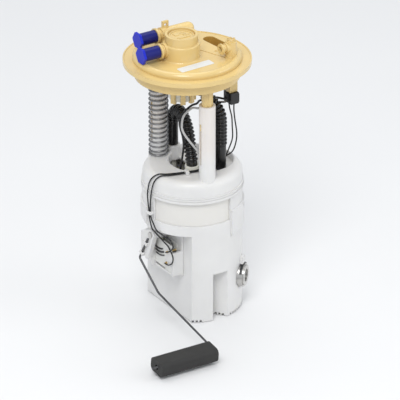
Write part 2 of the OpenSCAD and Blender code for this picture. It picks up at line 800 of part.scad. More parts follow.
// Path through the points, each corner cut by a short curve
function cornered(p, cut) = [
  p[0],
  for (i = [1 : len(p) - 2])
    let (a = p[i] - cut * unit(p[i] - p[i - 1]), b = p[i] + cut * unit(p[i + 1] - p[i]))
    each [for (t = [0 : 0.25 : 1]) (1 - t) * (1 - t) * a + 2 * t * (1 - t) * p[i] + t * t * b],
  p[len(p) - 1]
];
module float_arm_wire() {
  top = arm_bend * 0.17;
  path = cornered([
    [arm_x, top[0], pivot_z + top[1]],
    [arm_x, arm_bend[0], pivot_z + arm_bend[1]],
    [arm_x, arm_kink[0], pivot_z + arm_kink[1]],
    [arm_x, arm_end[0], pivot_z + arm_end[1]],
    [float_x - float_len - 5, arm_end[0], pivot_z + arm_end[1]]
  ], 2.4);
  color("dimgray") swept(path, [for (q = path) arm_d / 2], [0.7, -0.1, 0.7], 12);
}
module float_plan() {
  round_r = 5;
  for (x = [-1, 1], y = [-1, 1])
    translate([x * (float_w / 2 - round_r), y * (float_t / 2 - round_r)]) circle(round_r);
  square([float_w, float_t - 2 * round_r], center = true);
  square([float_w - 2 * round_r, float_t], center = true);
}
module float() {
  tilt = 7;
  color("dimgray") translate([float_x - float_len, arm_end[0], float_z]) rotate([tilt, 0, 0])
    rotate([90, 0, 90]) difference() {
      linear_extrude(float_len) float_plan();
      translate([0, 0, -1]) cylinder(r = arm_d / 2 + fit, h = float_len + 2);
      translate([0, 0, -eps]) cylinder(r = 2.6, h = 3);
    }
}

// Inside the reservoir
module foot_valve() {
  color("darkred") at(valve_xy, tooth_h + floor_t) {
    translate([0, 0, fit]) cylinder(r = 7, h = 1.4);
    translate([0, 0, -floor_t - 1]) cylinder(r = 1.5, h = floor_t + 2);
    translate([0, 0, -floor_t - 1.4]) cylinder(r = 2.2, h = 1.3);
  }
}
module inlet_strainer() {
  color("wheat") at(pump_xy) {
    translate([0, 0, tooth_h + floor_t + slip]) cylinder(r = 17, h = 5);
    translate([0, 0, tooth_h + floor_t + slip + 4.9])
      tube(5.6, 4.1, pump_z - 6.4 - tooth_h - floor_t - slip);
  }
}
module pump_damper() {
  base = tooth_h + floor_t + 8.4;
  color("dimgray") at(pump_xy, base) difference() {
    cylinder(r = pump_r + 3.2 - fit, h = 16);
    translate([0, 0, pump_z - base - 0.5 - fit]) cylinder(r = pump_r + fit, h = 30);
    translate([0, 0, -1]) cylinder(r = 8, h = 30);
    beside_walls();
  }
}
module pump_can() {
  color("silver") at(pump_xy, pump_z) difference() {
    cylinder(r = pump_r, h = pump_len);
    translate([0, 0, -1]) cylinder(r = pump_r - 1, h = pump_len + 2);
  }
}
module pump_inlet_cover() {
  color("gray") at(pump_xy, pump_z) difference() {
    union() {
      translate([0, 0, -0.5]) cylinder(r = pump_r - 1 - fit, h = 8);
      translate([0, 0, -5]) cylinder(r = 4, h = 6);
    }
    translate([0, 0, -6]) cylinder(r = 1.8, h = 8);
    translate([0, 0, 3]) cylinder(r = shaft_r + 0.04, h = 10);
  }
}
motor_len = pump_len - 48;
module impeller() {
  color("black") at(pump_xy, pump_z + 7.6) difference() {
    cylinder(r = 15, h = 3.6);
    translate([0, 0, -1]) cylinder(r = shaft_r, h = 6);
    for (a = [0 : 15 : 345]) rotate(a) translate([12.6, -0.7, -1]) cube([4, 1.4, 6]);
  }
}
module pump_mid_plate() {
  color("gray") at(pump_xy, pump_z + 7.5) difference() {
    cylinder(r = pump_r - 1 - fit, h = 8);
    translate([0, 0, -1]) cylinder(r = 15 + slip, h = 4.9);
    cylinder(r = shaft_r + 0.05, h = 20);
    translate([11, 0, 0]) cylinder(r = 2, h = 20);
  }
}
module pump_shaft() {
  color("silver") at(pump_xy, pump_z + 3.2) cylinder(r = shaft_r, h = pump_len - 12);
}
module armature() {
  color("sienna") at(pump_xy, pump_z + 20) difference() {
    union() {
      cylinder(r = 11, h = motor_len);
      translate([0, 0, -3]) cylinder(r = 9, h = motor_len + 6);
    }
    translate([0, 0, -4]) cylinder(r = shaft_r, h = pump_len);
    for (a = [0 : 45 : 315]) rotate(a) translate([9.2, -0.8, -1]) cube([4, 1.6, motor_len + 4]);
  }
}
module commutator() {
  color("peru") at(pump_xy, pump_z + motor_len + 24) difference() {
    cylinder(r = 8, h = 3.8);
    translate([0, 0, -1]) cylinder(r = shaft_r, h = 8);
    for (a = [0 : 45 : 315]) rotate(a) translate([4, -0.3, 3]) cube([6, 0.6, 3]);
  }
}
module motor_magnets() {
  color("dimgray") at(pump_xy, pump_z + 19) for (a = [0, 180]) rotate(a) intersection() {
    tube(pump_r - 1 - fit, 11.8, motor_len + 2);
    linear_extrude(motor_len + 4) sector(pump_r, 130);
  }
}
module carbon_brushes() {
  color("black") at(pump_xy, pump_z + motor_len + 28.2)
    for (y = [-5.2, 5.2]) translate([-2, y - 2, 0]) cube([4, 4, 7.6]);
}
module pump_outlet_cover() {
  up = pump_len - 11;
  low = up - 9;
  out = port_xy - pump_xy;
  color("gray") at(pump_xy, pump_z) difference() {
    union() {
      translate([0, 0, low]) cylinder(r = pump_r - 1 - fit, h = 20.6);
      at(out, up) cylinder(r = 4.6, h = 22);
    }
    for (y = [-5.2, 5.2]) translate([-2 - fit, y - 2 - fit, low - 4]) cube([4 + 2 * fit, 4 + 2 * fit, 12]);
    translate([0, 0, low - 4]) cylinder(r = shaft_r + 0.05, h = 16);
    at(out, up + 6) cylinder(r = 2.8, h = 20);
    at(out, low - 4) cylinder(r = 1.5, h = 30);
  }
}
module check_valve_poppet() {
  out = port_xy;
  color("gold") at(out, pump_z + pump_len - 5 + 0.05) {
    cylinder(r = 2.4, h = 2);
    translate([0, 0, 1.9]) cylinder(r = 1, h = 5);
  }
}
module outlet_manifold() {
  low = pump_top + 3;
  toward = filter_xy - port_xy;
  branch_z = low + 4.5;
  color("white") difference() {
    union() {
      at(port_xy, low) cylinder(r = 6.4, h = 14);
      at(port_xy, low) cylinder(r = nipple_r, h = port_z + 10 - low);
      translate([port_xy[0], port_xy[1], branch_z])
        rotate([0, 90, atan2(toward[1], toward[0])]) cylinder(r = 3.6, h = norm(toward) - 3);
      at(filter_xy, branch_z - 3.6) cylinder(r = 4.6, h = 7.2);
    }
    at(port_xy, low - 1) cylinder(r = 4.6 + fit, h = 9.8);
    at(port_xy, low) cylinder(r = 2.4, h = 80);
    at(filter_xy, branch_z - 5) cylinder(r = 2.4, h = 6);
    translate([port_xy[0], port_xy[1], branch_z])
      rotate([0, 90, atan2(toward[1], toward[0])]) translate([0, 0, 5]) cylinder(r = 1.8, h = norm(toward) - 6);
  }
}
module filter_housing() {
  low = pump_top + 3;
  top = filter_z + filter_h;
  tip = low + 0.9 - slip;
  color("white") difference() {
    union() {
      at(filter_xy, filter_z) cylinder(r = filter_r, h = tip - filter_z - 3);
      at(out_xy, tip - 20) cylinder(r = 6, h = 17);
      at(out_xy, tip - 20) cylinder(r = nipple_r, h = well_z + 14 - tip + 20);
    }
    at(filter_xy, filter_z + 1.6) cylinder(r = filter_r - 1.6, h = tip - filter_z - 6.2);
    at(out_xy, tip - 8) cylinder(r = 2.4, h = 80);
    at(filter_xy, tip - 10) cylinder(r = 2.4, h = 40);
  }
}
module filter_element() {
  low = pump_top + 3;
  color("wheat") at(filter_xy, filter_z + 1.6 + slip)
    tube(filter_r - 1.6 - slip, 7, low - filter_z - 9);
}
module jet_pump() {
  base = tooth_h + floor_t + fit;
  color("black") at(jet_xy, base) difference() {
    union() {
      translate([-7, -8, 0]) cube([14, 14, 10]);
      translate([0, -4, 5]) rotate([90, 0, 0]) cylinder(r = 4, h = 12);
      cylinder(r = 5.4, h = 16);
    }
    translate([0, 0, 4]) cylinder(r = nipple_r + fit, h = 20);
    translate([0, 1, 5]) rotate([90, 0, 0]) cylinder(r = 1.6, h = 24);
    translate([0, -10, 0]) cylinder(r = 1.4, h = 8, center = true);
  }
}
module jet_pipe() {
  base = tooth_h + floor_t + fit + 6;
  color("white") at(jet_xy, base) difference() {
    union() {
      cylinder(r = nipple_r, h = jet_port_z + 12 - base);
      translate([0, 0, 10.4]) cylinder(r = 5.2, h = 1.6);
    }
    translate([0, 0, -1]) cylinder(r = 2.6, h = 200);
  }
}
module pump_plug() {
  color("ivory") at(plug_xy, pump_top + 0.6 + fit) difference() {
    translate([-3, -4, 0]) cube([6, 8, 12]);
    for (y = [-2.1, 2.1]) translate([0, y, 8]) cylinder(r = 1.1 + slip, h = 10);
  }
}
module regulator_can() {
  color("silver") regulator_axis() translate([0, 0, regulator_face - regulator_len]) difference() {
    union() {
      cylinder(r = regulator_r, h = regulator_len - 1.4);
      cylinder(r = regulator_r - 1.4, h = regulator_len);
      translate([0, 0, -7]) cylinder(r = 4.6, h = 8);
    }
    translate([0, 0, regulator_len - 2.4]) cylinder(r = 6.5, h = 4);
    translate([0, 0, -8]) cylinder(r = 2, h = 60);
  }
}
module regulator_clip() {
  color("black") regulator_axis() translate([0, 0, cup_r + 1.2]) difference() {
    tube(regulator_r + 1.3, regulator_r + fit, 2.4);
    translate([0, -20, -1]) cube([40, 40, 6]);
    translate([-6, -20, -1]) cube([40, 40, 6]);
  }
}
module wire_clips() {
  color("white") {
    clip([-19, -20], lid_top + fit, -15);
    rotate(184.5) translate([cup_r + fit, -4.2, 112]) difference() {
      cube([4.8, 7.4, 3.4]);
      translate([1.4, 1.2, -1]) cube([2.4, 5, 6]);
    }
  }
}
module clip(p, z, a) {
  at(p, z) rotate(a) difference() {
    translate([-1.8, -3.4, 0]) cube([3.6, 6.8, 3.4]);
    translate([-3, -2.4, -1]) cube([6, 4.8, 3.2]);
  }
}

// Hoses and wires
pump_hose_route = [
  [-8, -12, 149.4], [-8, -12, 157], [-8, -11, 165], [-7, -7, 175], [-5, -1, 185], [-3, 7, 194],
  [-2, 16, 200.5], [-1, 25, 201.5], [0, 33, 196.5], [0.5, 37, 188], [0.5, 38, 178],
  [0.5, 38, 168.5], [0.5, 38, 159.4]
];
feed_hose_route = [
  [25, -13, 146.4], [25, -13, 156], [25, -13, 166], [25, -13, 176], [25, -13, 186], [25, -13, 196],
  [24.5, -12.5, 205], [21.5, -10, 214], [16.5, -5.5, 222], [11.5, -1, 230], [8, 1.6, 237],
  [7.5, 2, 243.5], [7.5, 2, 251.4], [7.5, 2, 259.4]
];
power_black = [
  [31.4, -8.6, 219.4], [27, 0.5, 218.4], [18, 3, 218], [9, 1, 219], [2, -5, 220], [-6, -8, 221],
  [-13, -6, 215], [-17, -4, 205], [-16.5, -4, 197], [-14.5, -5, 188], [-14, -6, 178],
  [-15, -5, 165], [-16, -3, 150], [-15, -4, 135], [-14.5, -4.6, 124], [-14.5, -4.1, 111.5]
];
power_grey = [
  [31.4, -12.4, 217.6], [27, -2.6, 214], [18, -0.6, 213], [9, -2.6, 214], [2, -8, 216], [-7, -10, 219],
  [-15, -8, 212], [-18, -9, 203], [-18, -11, 197], [-16, -15, 191], [-12, -19, 184],
  [-6, -21, 175], [1, -19, 164], [2, -14, 152], [2, -5, 142], [-5, 0, 134], [-13, 0, 124],
  [-14.5, 0.1, 111.5]
];
sender_a = [
  [37, -9, 215.4], [37, -11, 208], [38, -13, 200], [38, -14, 190], [37, -16, 178], [34, -14, 166],
  [33, -9, 156], [29, -5, 149.6], [22, -4, 147.8], [14, -12, 147.8], [6, -20, 151], [-2, -24, 155.4],
  [-10, -23, 155.6], [-17, -21, 155.4]
];
sender_b = [
  [39.5, -15, 215.4], [39.6, -14.4, 208], [40, -15.6, 198], [41, -17.6, 184], [40, -18, 174],
  [38, -15, 163], [35.4, -7, 155], [29, -2.4, 149.6], [21, -1.6, 147.8], [11, -9.6, 148.6],
  [3, -17, 152], [-3, -21.4, 155.4], [-10, -20.6, 155.6], [-17, -18.6, 155.4]
];
sender_c = [
  [-21, -20, 155.4], [-30, -17, 155.2], [-38, -14, 155.2], [-43.6, -10, 154.9], [-48.6, -7.6, 152.2],
  [-51.6, -5.6, 147], [-52.9, -4.4, 140], [-53.4, -4, 134], [-53, -4.4, 126], [-52.7, -5, 117],
  [-52.6, -5.2, 110], [-52.2, -8, 103.5], [-51.2, -11.4, 97], [-47.6, -16.5, 92.4], [-44, -23, 90.8],
  [-43.2, -28.6, 89.6], [-42.9, -31.8, 86.4], [-42.9, -31.4, 82.4], [-43.1, -28.4, 78.6], [-43.2, -25, 76],
  [-42.9, -21, 73.7], [-42.5, -17.7, 72]
];
sender_d = [
  [-21, -17.8, 155.4], [-30, -14.6, 155.2], [-38, -11.6, 155.2], [-44, -7.4, 154.9], [-49, -5, 152.2],
  [-51.9, -3, 147], [-53, -2, 140], [-53.6, -1.6, 134], [-53.4, -1.8, 126], [-52.8, -2.6, 117],
  [-52.8, -2.9, 110], [-52.5, -5, 103], [-51.6, -8.2, 96.5], [-47.6, -10.8, 91.6], [-43, -11.2, 87],
  [-41.4, -14, 83.2], [-41.2, -19.6, 79.6], [-41.2, -25, 76], [-41.4, -28.8, 72.6], [-41.6, -30.2, 69],
  [-41.8, -28.4, 64], [-42.2, -23.1, 60.2], [-42.5, -19, 59.4], [-42.5, -15.8, 59.4]
];
module pump_hose() { color("black") hose(pump_hose_route, 5, 9, 14, [0.98, -0.2, 0]); }
module feed_hose() { color("black") hose(feed_hose_route, 5, 13, 10, [0.1, 0.99, 0]); }
module hose_clip() {
  color("ivory") at(port_xy, lid_top + slip) tube(7.2, cuff_r + fit, 4);
}
module power_wires() {
  color("black") wire(power_black, 2.2);
  color("gray") wire(power_grey, 2.2);
}
module sender_wires_upper() {
  color("black") {
    wire(sender_a, 1.5);
    wire(sender_b, 1.5);
  }
}
module sender_wires_lower() {
  color("black") {
    wire(sender_c, 1.5);
    wire(sender_d, 1.5);
  }
}

reservoir_cup();
reservoir_lid();
foot_valve();
inlet_strainer();
pump_cradle();
pump_damper();
pump_can();
pump_inlet_cover();
pump_mid_plate();
pump_outlet_cover();
motor_magnets();
carbon_brushes();
check_valve_poppet();
outlet_manifold();
filter_housing();
filter_element();
jet_pump();
jet_pipe();
pump_shaft();
armature();
commutator();
impeller();
regulator_can();
regulator_clip();
sender_frame();
resistor_card();
sender_terminals();
wire_clips();
pivot_pin();
sender_lever();
wiper_contacts();
float_arm_wire();
float();
guide_spring();
guide_rod_front();
guide_rod_rear();
flange();
tower_cap();
vent_valve_body();
vent_valve_float();
vent_crown();
connector_pins();
harness_plug();
feed_adapter();
front_cap();
rear_cap();
pump_plug();
pump_hose();
hose_clip();
feed_hose();
power_wires();
sender_wires_upper();
sender_wires_lower();
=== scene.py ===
import json
import math
import bpy
from mathutils import Matrix, Vector

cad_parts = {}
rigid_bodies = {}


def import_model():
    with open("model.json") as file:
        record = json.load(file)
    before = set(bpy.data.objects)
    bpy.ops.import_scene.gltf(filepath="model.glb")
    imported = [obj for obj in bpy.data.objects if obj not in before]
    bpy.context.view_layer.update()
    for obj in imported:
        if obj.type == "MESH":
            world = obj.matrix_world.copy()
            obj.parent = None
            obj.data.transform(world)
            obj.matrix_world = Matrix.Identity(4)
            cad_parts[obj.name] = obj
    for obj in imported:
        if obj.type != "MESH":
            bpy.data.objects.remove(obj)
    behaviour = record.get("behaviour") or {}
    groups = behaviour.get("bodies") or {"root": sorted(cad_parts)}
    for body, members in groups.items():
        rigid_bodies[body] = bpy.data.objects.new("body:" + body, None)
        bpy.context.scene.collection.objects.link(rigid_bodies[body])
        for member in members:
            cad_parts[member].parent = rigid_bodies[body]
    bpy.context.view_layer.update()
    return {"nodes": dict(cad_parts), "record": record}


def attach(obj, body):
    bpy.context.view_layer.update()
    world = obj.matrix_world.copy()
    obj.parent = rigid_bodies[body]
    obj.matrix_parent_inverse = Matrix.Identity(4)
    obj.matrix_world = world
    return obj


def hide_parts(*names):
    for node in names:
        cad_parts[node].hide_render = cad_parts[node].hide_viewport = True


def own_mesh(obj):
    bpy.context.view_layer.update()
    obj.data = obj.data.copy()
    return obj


for leftover in list(bpy.data.objects):
    bpy.data.objects.remove(leftover)
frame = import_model()
nodes = frame["nodes"]
scene = bpy.context.scene


# Camera at the photograph's angle
def makeCamera():
    shot = {
        "azimuth": -32.0, "elevation": 26.0, "roll": 0.0, "distance": 6.0,
        "target": (0.0064, -0.004, 0.112), "lens": 540, "sensor": 36, "near": 0.1, "far": 100,
    }
    azimuth, elevation = math.radians(shot["azimuth"]), math.radians(shot["elevation"])
    back = Vector((
        math.sin(azimuth) * math.cos(elevation),
        -math.cos(azimuth) * math.cos(elevation),
        math.sin(elevation),
    ))
    data = bpy.data.cameras.new("camera")
    data.lens = shot["lens"]
    data.sensor_width = shot["sensor"]
    data.clip_start, data.clip_end = shot["near"], shot["far"]
    camera = bpy.data.objects.new("camera", data)
    scene.collection.objects.link(camera)
    camera.rotation_mode = "QUATERNION"
    turn = back.to_track_quat("Z", "Y").to_matrix() @ Matrix.Rotation(math.radians(shot["roll"]), 3, "Z")
    camera.rotation_quaternion = turn.to_quaternion()
    camera.location = Vector(shot["target"]) + back * shot["distance"]
    scene.camera = camera


makeCamera()
print("camera set")


# A smooth curve through all points, each stretch in the same number of steps
def smoothPath(points, steps):
    pts = [Vector(p) for p in points]
    last = len(pts) - 1
    out = []
    for i in range(last):
        a, b = pts[max(i - 1, 0)], pts[i]
        c, d = pts[i + 1], pts[min(i + 2, last)]
        for s in range(steps):
            t = s / steps
            out.append(0.5 * (2 * b + (c - a) * t + (2 * a - 5 * b + 4 * c - d) * t * t
                              + (3 * b - a - 3 * c + d) * t ** 3))
    out.append(pts[last])
    return out


# The same line with points at even steps, and its length
def evenPath(points, step):
    lengths = [0.0]
    for a, b in zip(points, points[1:]):
        lengths.append(lengths[-1] + (b - a).length)
    count = max(2, round(lengths[-1] / step))
    out, seat = [], 0
    for i in range(count + 1):
        want = lengths[-1] * i / count
        while seat < len(points) - 2 and lengths[seat + 1] < want:
            seat += 1
        share = (want - lengths[seat]) / (lengths[seat + 1] - lengths[seat])
        out.append(points[seat].lerp(points[seat + 1], share))
    return out, lengths[-1]


def directions(path):
    last = len(path) - 1
    return [(path[min(i + 1, last)] - path[max(i - 1, 0)]).normalized() for i in range(last + 1)]


def newMesh(name, points, faces, smooth=True):
    mesh = bpy.data.meshes.new(name)
    mesh.from_pydata([tuple(p) for p in points], [], faces)
    mesh.validate()
    for polygon in mesh.polygons:
        polygon.use_smooth = smooth
    obj = bpy.data.objects.new(name, mesh)
    scene.collection.objects.link(obj)
    return obj


# One round mesh from rings of (centre, direction, radius), carried along without twist
def sweep(name, rings, sides):
    side = rings[0][1].orthogonal().normalized()
    points, faces = [], []
    for centre, direction, radius in rings:
        side = (side - direction * side.dot(direction)).normalized()
        up = direction.cross(side)
        for k in range(sides):
            a = 2 * math.pi * k / sides
            points.append(centre + (side * math.cos(a) + up * math.sin(a)) * radius)
    for i in range(len(rings) - 1):
        for k in range(sides):
            n = (k + 1) % sides
            faces.append((i * sides + k, i * sides + n, (i + 1) * sides + n, (i + 1) * sides + k))
    faces.append(tuple(range(sides - 1, -1, -1)))
    faces.append(tuple(range((len(rings) - 1) * sides, len(rings) * sides)))
    return newMesh(name, points, faces)


def dress(obj, body, slotName, material, *covered):
    obj.data.materials.append(material)
    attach(obj, body)
    if covered:
        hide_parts(*covered)


# A second colour inside a box of object space; None leaves that side of the box open
def stepColour(tree, place, colour, step):
    split = tree.nodes.new("ShaderNodeSeparateXYZ")
    tree.links.new(place.outputs["Object"], split.inputs["Vector"])
    inside = None
    for axis, low, high in step["sides"]:
        for edge, sign in ((low, 1), (high, -1)):
            if edge is None:
                continue
            side = tree.nodes.new("ShaderNodeMapRange")
            side.inputs["From Min"].default_value = edge - sign * step["blur"]
            side.inputs["From Max"].default_value = edge
            tree.links.new(split.outputs[axis], side.inputs["Value"])
            if inside is None:
                inside = side.outputs["Result"]
            else:
                both = tree.nodes.new("ShaderNodeMath")
                both.operation = "MULTIPLY"
                tree.links.new(inside, both.inputs[0])
                tree.links.new(side.outputs["Result"], both.inputs[1])
                inside = both.outputs["Value"]
    mix = tree.nodes.new("ShaderNodeMix")
    mix.data_type = "RGBA"
    tree.links.new(inside, mix.inputs["Factor"])
    tree.links.new(colour, mix.inputs["A"])
    mix.inputs["B"].default_value = (*step["colour"], 1)
    return mix.outputs["Result"]


# What a material has where its own look says nothing; scales are per metre of object space
plainLook = {
    "cloud": 30, "cloudDetail": 4, "cloudEdges": (0.32, 0.68), "spread": 0.05, "steps": [],
    "rough": 0.4, "swing": 0.06, "roughLeast": 0.02, "wear": 160, "wearDetail": 6,
    "fine": 1500, "fineDetail": 3, "relief": 0.06, "depth": 0.0002, "soft": None, "softSamples": 6,
    "sockets": {},
}


# Colour, roughness and fine relief all come from noise in object space
def grainMaterial(name, colour, ownLook):
    look = {**plainLook, **ownLook}
    material = bpy.data.materials.new(name)
    material.use_nodes = True
    tree = material.node_tree
    shader = tree.nodes["Principled BSDF"]
    place = tree.nodes.new("ShaderNodeTexCoord")

    def noise(scale, detail):
        node = tree.nodes.new("ShaderNodeTexNoise")
        node.inputs["Scale"].default_value = scale
        node.inputs["Detail"].default_value = detail
        tree.links.new(place.outputs["Object"], node.inputs["Vector"])
        return node.outputs["Fac"]

    ramp = tree.nodes.new("ShaderNodeValToRGB")
    dark = [max(0.0, c * (1 - look["spread"])) for c in colour]
    light = [min(1.0, c * (1 + look["spread"])) for c in colour]
    for element, edge, shade in zip(ramp.color_ramp.elements, look["cloudEdges"], (dark, light)):
        element.position = edge
        element.color = (*shade, 1)
    tree.links.new(noise(look["cloud"], look["cloudDetail"]), ramp.inputs["Fac"])
    tinted = ramp.outputs["Color"]
    for step in look["steps"]:
        tinted = stepColour(tree, place, tinted, step)
    tree.links.new(tinted, shader.inputs["Base Color"])

    band = tree.nodes.new("ShaderNodeMapRange")
    band.inputs["To Min"].default_value = max(look["roughLeast"], look["rough"] - look["swing"])
    band.inputs["To Max"].default_value = min(1.0, look["rough"] + look["swing"])
    tree.links.new(noise(look["wear"], look["wearDetail"]), band.inputs["Value"])
    tree.links.new(band.outputs["Result"], shader.inputs["Roughness"])

    bump = tree.nodes.new("ShaderNodeBump")
    bump.inputs["Strength"].default_value = look["relief"]
    bump.inputs["Distance"].default_value = look["depth"]
    tree.links.new(noise(look["fine"], look["fineDetail"]), bump.inputs["Height"])
    if look["soft"]:
        bevel = tree.nodes.new("ShaderNodeBevel")
        bevel.samples = look["softSamples"]
        bevel.inputs["Radius"].default_value = look["soft"]
        tree.links.new(bevel.outputs["Normal"], bump.inputs["Normal"])
    tree.links.new(bump.outputs["Normal"], shader.inputs["Normal"])
    for socket, value in look["sockets"].items():
        shader.inputs[socket].default_value = value
    return material


# Colour and look of each slot of the record, and of the guide spring's wire
looks = {
    "white_plastic": ((0.735, 0.73, 0.72), {
        "rough": 0.36, "spread": 0.03, "relief": 0.05, "soft": 0.0011, "sockets": {
            "Subsurface Weight": 0.12, "Subsurface Scale": 0.5,
            "Subsurface Radius": (0.004, 0.004, 0.003),
        },
    }),
    "yellow_plastic": ((0.73, 0.54, 0.225), {
        "rough": 0.2, "spread": 0.05, "relief": 0.04, "soft": 0.0006,
        "sockets": {"Coat Weight": 0.25, "Coat Roughness": 0.12},
    }),
    "blue_plastic": ((0.008, 0.012, 0.17), {
        "rough": 0.3, "spread": 0.15, "relief": 0.04, "sockets": {"Specular IOR Level": 0.3},
    }),
    "black_plastic": ((0.02, 0.02, 0.021), {"rough": 0.38, "spread": 0.2}),
    "ivory_plastic": ((0.68, 0.67, 0.6), {"rough": 0.36, "spread": 0.04}),
    "black_hose": ((0.004, 0.004, 0.0045), {
        "rough": 0.22, "spread": 0.25, "relief": 0.08,
        "sockets": {"Coat Weight": 0.15, "Coat Roughness": 0.1},
    }),
    "wire_cover": ((0.006, 0.006, 0.007), {"rough": 0.4, "spread": 0.2}),
    "grey_foam": ((0.021, 0.0205, 0.0195), {
        "rough": 0.6, "spread": 0.2, "fine": 900, "relief": 0.3, "depth": 0.0003,
    }),
    "rubber": ((0.03, 0.03, 0.03), {"rough": 0.7, "spread": 0.15}),
    "steel": ((0.58, 0.57, 0.55), {
        "rough": 0.3, "spread": 0.08, "wear": 400, "sockets": {"Metallic": 1.0},
    }),
    "dark_steel": ((0.13, 0.13, 0.135), {
        "rough": 0.36, "spread": 0.2, "wear": 500, "sockets": {"Metallic": 0.9},
    }),
    "spring_wire": ((0.24, 0.24, 0.245), {
        "rough": 0.34, "spread": 0.12, "wear": 500, "sockets": {"Metallic": 0.9},
    }),
    "grey_plastic": ((0.2, 0.21, 0.22), {"rough": 0.45, "spread": 0.1}),
    "brass": ((0.66, 0.47, 0.2), {"rough": 0.3, "spread": 0.12, "sockets": {"Metallic": 1.0}}),
    "copper": ((0.62, 0.3, 0.16), {"rough": 0.35, "spread": 0.15, "sockets": {"Metallic": 1.0}}),
    "carbon": ((0.03, 0.03, 0.032), {"rough": 0.6, "spread": 0.2}),
    "ferrite": ((0.07, 0.07, 0.075), {"rough": 0.7, "spread": 0.15}),
    "filter_media": ((0.7, 0.64, 0.46), {"rough": 0.85, "spread": 0.08, "fine": 700, "relief": 0.4}),
}
materials = {name: grainMaterial(name, colour, look) for name, (colour, look) in looks.items()}
slots = {entry["node"]: entry["material_slot"] for entry in frame["record"]["subparts"]}
creaseAngle = math.radians(33)
for name, obj in nodes.items():
    obj.data.materials.clear()
    obj.data.materials.append(materials[slots[name]])
    for polygon in obj.data.polygons:
        polygon.use_smooth = True
    split = obj.modifiers.new("crisp edges", "EDGE_SPLIT")
    split.split_angle = creaseAngle


# A node in its slot's look, with one or more steps of colour
def recolour(node, title, *steps):
    colour, look = looks[slots[node]]
    nodes[node].data.materials[0] = grainMaterial(title, colour, {**look, "steps": steps})


# The caps' hexagons are brighter than their barrels
hexBlue = {"colour": (0.004, 0.016, 0.5), "blur": 0.0002}
recolour("front_cap", "front_cap blue", {**hexBlue, "sides": [("X", None, -0.0573)]})
recolour("rear_cap", "rear_cap blue", {**hexBlue, "sides": [("X", None, -0.0483)]})
# The lid is warmer below its rim ring, and its sleeves blush towards their tops
lidWarm = {"sides": [("Z", None, 0.1305)], "colour": (0.74, 0.725, 0.69), "blur": 0.0002}
lidBlush = {"sides": [("Z", 0.19, None)], "colour": (0.74, 0.7, 0.665), "blur": 0.02}
recolour("reservoir_lid", "lid white", lidWarm, lidBlush)
# The connector well is painted darker inside: painted shade in the recess
wellPaintedShade = {
    "sides": [("X", 0.024, 0.044), ("Y", -0.022, 0.027), ("Z", 0.256, 0.2732)],
    # painted shade colour: a darker, more orange yellow inside the well
    "colour": (0.5, 0.3, 0.07), "blur": 0.0002,
}
recolour("flange", "flange yellow with painted well shade", wellPaintedShade)
nodes["pump_outlet_cover"].data.materials[0] = materials["ivory_plastic"]
print("materials on", len(nodes), "nodes")


# Corrugated hoses, with smooth cuffs at both ends
def makeHose(name, route, ownLook, joint=None):
    look = {**hoseLook, **ownLook}
    path, length = evenPath(smoothPath(route, look["curveSteps"]), look["pitch"] / look["ribSteps"])
    along = directions(path)
    last = len(path) - 1
    step = length / last
    bore, inner = look["bore"], look["inner"]
    rings = [(path[inner], along[inner], bore), (path[0], along[0], bore)]
    for i, (centre, direction) in enumerate(zip(path, along)):
        run, left = i * step, length - i * step
        if run < look["first"] or left < look["second"]:
            radius = look["cuff"] - (look["lip"] if i in (0, last) else 0)
        else:
            turn = (run - look["first"]) / look["pitch"]
            wave = 0.5 - 0.5 * math.cos(2 * math.pi * turn)
            swell = min(1.0, look["crest"] * wave) ** look["roundness"]
            radius = look["valley"] + (look["rib"] - look["valley"]) * swell
        rings.append((centre, direction, radius))
    rings += [(path[last], along[last], bore), (path[last - inner], along[last - inner], bore)]
    hose = sweep(name, rings, look["sides"])
    dress(hose, "reservoir", "black_hose", materials["black_hose"], look["node"])
    if joint:
        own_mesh(hose)
    print("hose", name, round(length, 4))


# Radii along a hose; at each end the bore goes in by a few points of the path
hoseLook = {
    "pitch": 0.0038, "rib": 0.0064, "valley": 0.0048, "cuff": 0.0055, "bore": 0.00445, "lip": 0.0004,
    "crest": 1.35, "roundness": 0.8, "ribSteps": 8, "curveSteps": 12, "inner": 7, "sides": 36,
}

# Routes of the hoses and wires, point by point from one end to the other
pumpHoseRoute = [
    (-0.008, -0.012, 0.1494), (-0.008, -0.012, 0.157), (-0.008, -0.011, 0.165), (-0.007, -0.007, 0.175),
    (-0.005, -0.001, 0.185), (-0.003, 0.007, 0.194), (-0.002, 0.016, 0.2005), (-0.001, 0.025, 0.2015),
    (0, 0.033, 0.1965), (0.0005, 0.037, 0.188), (0.0005, 0.038, 0.178), (0.0005, 0.038, 0.1685),
    (0.0005, 0.038, 0.1594),
]
feedHoseRoute = [
    (0.025, -0.013, 0.1464), (0.025, -0.013, 0.156), (0.025, -0.013, 0.166), (0.025, -0.013, 0.176),
    (0.025, -0.013, 0.186), (0.025, -0.013, 0.196), (0.0245, -0.0125, 0.205), (0.0215, -0.01, 0.214),
    (0.0165, -0.0055, 0.222), (0.0115, -0.001, 0.23), (0.008, 0.0016, 0.237), (0.0075, 0.002, 0.2435),
    (0.0075, 0.002, 0.2514), (0.0075, 0.002, 0.2594),
]
blackPower = [
    (0.0314, -0.0086, 0.2194), (0.027, 0.0005, 0.2184), (0.018, 0.003, 0.218), (0.009, 0.001, 0.219),
    (0.002, -0.005, 0.22), (-0.006, -0.008, 0.221), (-0.013, -0.006, 0.215), (-0.017, -0.004, 0.205),
    (-0.0165, -0.004, 0.197), (-0.0145, -0.005, 0.188), (-0.014, -0.006, 0.178),
    (-0.015, -0.005, 0.165), (-0.016, -0.003, 0.15), (-0.015, -0.004, 0.135), (-0.0145, -0.0046, 0.124),
    (-0.0145, -0.0041, 0.1115),
]
